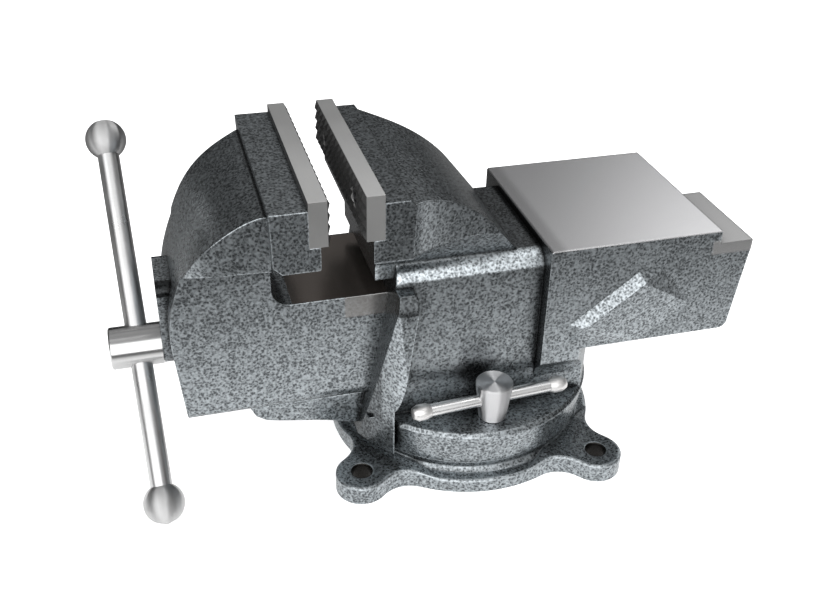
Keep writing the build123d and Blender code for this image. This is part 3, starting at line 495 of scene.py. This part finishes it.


# Metal: what every metal has unless its own values say otherwise, sizes in metres; lineTone is how much darker the
# lines are, roughSpread the least and the most of the roughness in the blotches. A metal may also have
# creaseShade, painted shade in its corners, a factor on upright faces, painted shade below 1 and painted light
# above 1, toothTone on faces towards X, and a painted sheen along Y = (y there, y here, factor there, factor here)
metalBase = {
    "scale": 30.0, "bump": 0.05, "bumpDepth": 0.0002, "lineTone": 0.12, "edge": 0.0005,
    "edgeSamples": 6, "metallic": 1.0, "roughSteps": (0.3, 0.7), "roughSpread": (0.85, 1.2),
    "anisotropy": 0.8, "rotation": 0.25, "creaseStart": 0.35, "sideSteps": (0.4, 0.8),
    "toothSteps": (0.2, 0.5),
}


def makeMetal(name, values, turned=None):
    # Bright metal with tool lines; turned = (point, axis) stretches its gloss across lathe marks
    metal = metalBase | values
    mat, tree, shader, place = newMaterial(name)
    marks = useGroup(tree, lineGroup, {"Vector": place, "Stretch": metal["stretch"],
                                       "Scale": metal["scale"]})
    rounded = addNode(tree, "ShaderNodeBevel", {"Radius": metal["edge"]},
                      samples=metal["edgeSamples"]).outputs[0]
    darker = tuple(part * (1 - metal["lineTone"]) for part in metal["colour"][:3]) + (1.0,)
    base = mixColour(tree, marks["Lines"], darker, metal["colour"])
    # painted shade in the corners
    if "creaseShade" in metal:
        crease = shadeOf(tree, metal["creaseReach"], metal["creaseShade"], metal["creaseStart"])
        base = tint(tree, base, crease)
    # painted shading: upright faces darker or lighter by a factor
    if "sideTone" in metal:
        base = tint(tree, base, ramp(tree, facing(tree, "Z"), *metal["sideSteps"], metal["sideTone"], 1.0))
    if "toothTone" in metal:
        slope = maths(tree, "ABSOLUTE", facing(tree, "X"))
        base = tint(tree, base, ramp(tree, slope, *metal["toothSteps"], 1.0, metal["toothTone"]))
    # painted sheen: the colour scaled by a factor that changes along Y
    if "fade" in metal:
        base = tint(tree, base, ramp(tree, split(tree, place)["Y"], *metal["fade"]))
    put(tree, base, shader["Base Color"])
    shader["Metallic"].default_value = metal["metallic"]
    rough = (metal["roughness"] * spread for spread in metal["roughSpread"])
    put(tree, ramp(tree, marks["Blotch"], *metal["roughSteps"], *rough), shader["Roughness"])
    if turned:
        # tangent = axis x (place - point), across which the marks run
        point, axis = turned
        across = vectorMaths(tree, "CROSS_PRODUCT", axis, vectorMaths(tree, "SUBTRACT", place, point))
        world = addNode(tree, "ShaderNodeVectorTransform", {0: vectorMaths(tree, "NORMALIZE", across)},
                        vector_type="VECTOR", convert_from="OBJECT", convert_to="WORLD").outputs[0]
        put(tree, world, shader["Tangent"])
        shader["Anisotropic"].default_value = metal["anisotropy"]
        shader["Anisotropic Rotation"].default_value = metal["rotation"]
    normal = addNode(tree, "ShaderNodeBump", {"Strength": metal["bump"], "Distance": metal["bumpDepth"],
                                              "Height": marks["Lines"], "Normal": rounded}).outputs[0]
    put(tree, normal, shader["Normal"])
    return mat


# Regions of the castings in metres: (low corner, high corner, softness, then tone, factor or radius)
ironTone = (0.56, 0.56, 0.57, 1.0)
stepTone = (0.25, 0.25, 0.25, 1.0)
oilTone = (0.16, 0.130, 0.110, 1.0)
patchTone = (0.18, 0.177, 0.172, 1.0)
bodyBare = {
    "anvilTop": ((0.0355, -0.0655, 0.1648), (0.1575, 0.0655, 0.1676), 0.0003, ironTone),
    "step": ((0.1520, -0.0655, 0.1480), (0.1850, 0.0090, 0.1580), 0.0010, stepTone),
}
# Painted shade and light on the body, as factors on its colour: a painted shadow of the near lock bolt on the
# housing and of its bar on the flange top; painted shade on the rib's top, front and the housing's side, in the
# corner at the anvil's foot and on the fixed jaw's upper part; painted highlights on the shoulder band and the
# rib's near side
bodyPaintedShadeAndLight = {
    "ribTop": ((-0.0760, -0.0740, 0.1350), (-0.0480, -0.0600, 0.1468), 0.0004, 0.30),
    "boltShadow": ((-0.0230, -0.0600, 0.0620), (0.0020, -0.0500, 0.0820), 0.0080, 0.10),
    "anvilFoot": ((0.0140, -0.0460, 0.1500), (0.0362, 0.0660, 0.1650), 0.0030, 0.35),
    "shoulder": ((-0.1000, -0.0556, 0.1502), (0.0360, -0.0440, 0.1606), 0.0006, 1.70),
    "ribSide": ((-0.0900, -0.1000, 0.0500), (-0.0400, -0.0556, 0.1340), 0.0010, 1.35),
    "housingSide": ((-0.0760, -0.0555, 0.0500), (0.0360, -0.0530, 0.1490), 0.0006, 0.85),
    "fixedJaw": ((-0.0800, -0.0850, 0.1600), (0.0450, 0.0850, 0.2500), 0.0060, 0.70),
    "flangeTop": ((-0.0300, -0.0700, 0.0440), (0.0300, -0.0530, 0.0620), 0.0060, 0.45),
    "ribFront": ((-0.0790, -0.1000, 0.0450), (-0.0752, -0.0560, 0.1360), 0.0006, 0.55),
}
bodySoft = ((-0.1000, -0.0560, 0.1440), (0.0360, -0.0420, 0.1620), 0.0008, 0.0045)
jawBare = {
    "slideTop": ((-0.1290, -0.0410, 0.1369), (0.1460, 0.0410, 0.1380), 0.0004, oilTone),
    "slidePatch": ((-0.0950, -0.0420, 0.1220), (-0.0500, -0.0411, 0.1380), 0.0008, patchTone),
}
# Painted shade on the jaw: the boss's chamfered corner darkened in place of its reflection
jawPaintedShade = {
    "bossCorner": ((-0.2125, -0.0235, 0.1425), (-0.1985, -0.0140, 0.1515), 0.0005, 0.12),
}
baseSoft = ((-0.20, -0.20, 0.0080), (0.20, 0.20, 0.0600), 0.0005, 0.0030)
baseHoles = [(*mount["pos_m"][:2], 0.001 * mount["dims"]["r_mm"])
             for mount in frame["record"]["mounts"] if mount["kind"] == "bore"]

# the body with painted shade on its faces towards -X
bodyPaint = makePaint("bodyPaint", bodyBare.values(), shadeAndLightBoxes=bodyPaintedShadeAndLight.values(), softBox=bodySoft,
                      frontShade=0.3)
jawPaint = makePaint("jawPaint", jawBare.values(), shadeAndLightBoxes=jawPaintedShade.values())
# the base with strong painted highlights on its edges and lighter painted shade in its corners
basePaint = makePaint("basePaint", holes=baseHoles, softBox=baseSoft, hollowShade=0.90,
                      creaseShade=0.60, edgeLight=0.9)

# The turned parts' axes, a point and a direction each: the screw's where it turns, the handle's through
# the middle of its rod and along its slide
spindleAxis = (joints["spindle_turn"]["pos_m"], joints["spindle_turn"]["axis"])
handleAxis = (tuple(np.mean(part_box("handle_rod"), axis=0)), joints["handle_slide"]["axis"])

# The jaw plates: painted shade in the tooth corners and on their upright faces, and a painted sheen brighter
# towards -Y
plateSteel = makeMetal("plateSteel", {
    "colour": (0.58, 0.58, 0.575, 1.0), "roughness": 0.34, "metallic": 0.6, "stretch": (60.0, 2.0, 60.0),
    "creaseReach": 0.004, "creaseShade": 0.03, "sideTone": 0.52, "toothTone": 0.35,
    "fade": (0.075, -0.075, 0.64, 1.0)})
bright = {"colour": (0.66, 0.66, 0.66, 1.0), "roughness": 0.24, "stretch": (60.0, 1.0, 1.0),
          "scale": 40.0, "bump": 0.02}
hubSteel = makeMetal("hubSteel", bright | {"roughness": 0.20}, spindleAxis)
rodSteel = makeMetal("rodSteel", bright | {"stretch": (1.0, 1.0, 60.0), "roughness": 0.32}, handleAxis)
ballSteel = makeMetal("ballSteel", bright | {"roughness": 0.40, "anisotropy": 1.0}, handleAxis)
barSteel = makeMetal("barSteel", bright | {"colour": (0.80, 0.80, 0.80, 1.0), "roughness": 0.26})
knobSteel = makeMetal("knobSteel", bright | {"colour": (0.88, 0.87, 0.86, 1.0), "roughness": 0.45})
blackSteel = makeMetal("blackSteel", {"colour": (0.05, 0.05, 0.055, 1.0), "roughness": 0.4,
                                      "stretch": (1.0, 1.0, 40.0)})
dullIron = makeMetal("dullIron", {"colour": (0.20, 0.19, 0.185, 1.0), "roughness": 0.5,
                                  "stretch": (40.0, 1.0, 1.0), "bump": 0.1})

# Swivel locks: a tapered bolt head with its T bar and a chamfered knob at each end of the bar. Profiles
# are (along the axis, radius) in metres, the bolt's from the bench up; the bar is shifted along itself,
# and edges over sharpAngle, in degrees, stay sharp
swivelLock = {
    "shift": -0.002, "sides": 48, "sharpAngle": 28.0,
    "bolt": ((0.0055, 0.0), (0.0055, 0.0060), (0.0463, 0.0060), (0.0463, 0.0092), (0.0466, 0.0095),
             (0.0725, 0.0126), (0.0742, 0.0126), (0.0750, 0.0119), (0.0750, 0.0)),
    "bar": ((-0.0480, 0.0), (-0.0480, 0.0044), (0.0480, 0.0044), (0.0480, 0.0)),
    "knobStart": 0.0435, "knobSides": 24,
    "knob": ((0.0, 0.0), (0.0, 0.0046), (0.0012, 0.0048), (0.0032, 0.0056), (0.0088, 0.0057),
             (0.0122, 0.0040), (0.0125, 0.0036), (0.0125, 0.0)),
    "steel": {"roughness": 0.45, "anisotropy": 1.0, "colour": (0.79, 0.79, 0.80, 1.0)},
}


def lathe(point, axis, profile, sides):
    # place = point + s * axis + r * (cos t * u + sin t * v): (s, r) runs along the profile, t round the
    # axis, u and v stand square to it; both ends close in a point on the axis
    axis = np.array(axis, float)
    axis /= np.linalg.norm(axis)
    u = np.cross(axis, upright if abs(axis[2]) < 0.9 else (1.0, 0.0, 0.0))
    u /= np.linalg.norm(u)
    v = np.cross(axis, u)
    line = np.array(profile, float)
    t = np.arange(sides) * 2 * math.pi / sides
    ring = np.cos(t)[:, None] * u + np.sin(t)[:, None] * v
    rings = line[1:-1, 0, None, None] * axis + line[1:-1, 1, None, None] * ring[None]
    ends = line[[0, -1], 0, None] * axis
    verts = np.concatenate([rings.reshape(-1, 3), ends]) + np.array(point, float)
    here = np.arange(len(line) - 2)[:, None] * sides + np.arange(sides)
    after = np.roll(here, -1, axis=1)
    quads = np.stack([here[:-1], after[:-1], after[1:], here[1:]], axis=-1).reshape(-1, 4)
    first = np.full(sides, len(verts) - 2)
    last = np.full(sides, len(verts) - 1)
    fans = np.concatenate([np.stack([first, after[0], here[0]], axis=-1),
                           np.stack([last, here[-1], after[-1]], axis=-1)])
    return verts, quads, fans


def makePiece(name, surfaces, mat, body, replaced):
    # the surfaces (verts, quads, fans) joined in one mesh, smooth with sharp corners
    verts, faces, count = [], [], 0
    for points, quads, fans in surfaces:
        verts += points.tolist()
        faces += (quads + count).tolist() + (fans + count).tolist()
        count += len(points)
    mesh = bpy.data.meshes.new(name)
    mesh.from_pydata(verts, [], faces)
    mesh.polygons.foreach_set("use_smooth", np.ones(len(mesh.polygons), bool))
    mesh.set_sharp_from_angle(angle=math.radians(swivelLock["sharpAngle"]))
    mesh.materials.append(mat)
    piece = bpy.data.objects.new(name, mesh)
    bpy.context.scene.collection.objects.link(piece)
    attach(piece, body)
    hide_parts(replaced)


def makeLocks():
    # each bolt stands on its joint's axis, and its bar crosses there along the joint that slides it
    for place in ("near", "far"):
        cross, axis = (joints["lock_" + place + "_turn"][key] for key in ("pos_m", "axis"))
        along = np.array(joints["lever_" + place + "_slide"]["axis"])
        foot = np.array(cross) * (1.0, 1.0, 0.0)
        middle = np.array(cross) + swivelLock["shift"] * along
        bolt = lathe(foot, axis, swivelLock["bolt"], swivelLock["sides"])
        bar = lathe(middle, along, swivelLock["bar"], swivelLock["sides"])
        knobs = [lathe(middle + end * swivelLock["knobStart"] * along, end * along, swivelLock["knob"],
                       swivelLock["knobSides"]) for end in (-1, 1)]
        boltSteel = makeMetal("boltSteel_" + place, bright | swivelLock["steel"], (cross, axis))
        makePiece("turned_bolt_" + place, [bolt], boltSteel, "lock_" + place,
                  "lock_bolt_" + place)
        makePiece("turned_bar_" + place, [bar], barSteel, "lever_" + place,
                  "lock_bar_" + place)
        makePiece("turned_knobs_" + place, knobs, knobSteel, "lever_" + place,
                  "lock_knobs_" + place)


makeLocks()
print("stage: swivel locks turned")

finishes = {
    "vise_body": bodyPaint, "sliding_jaw": jawPaint, "swivel_base": basePaint,
    "fixed_jaw_plate": plateSteel, "moving_jaw_plate": plateSteel,
    "fixed_plate_screws": blackSteel, "moving_plate_screws": blackSteel, "nut_bolts": blackSteel,
    "collar_pin": blackSteel, "main_nut": dullIron, "tee_nut_near": dullIron, "tee_nut_far": dullIron,
    "spindle": hubSteel, "spindle_collar": hubSteel, "handle_rod": rodSteel,
    "upper_handle_ball": ballSteel, "lower_handle_ball": ballSteel,
}
for name, mat in finishes.items():
    nodes[name].data.materials.clear()
    nodes[name].data.materials.append(mat)
print("stage: finishes given to the nodes")
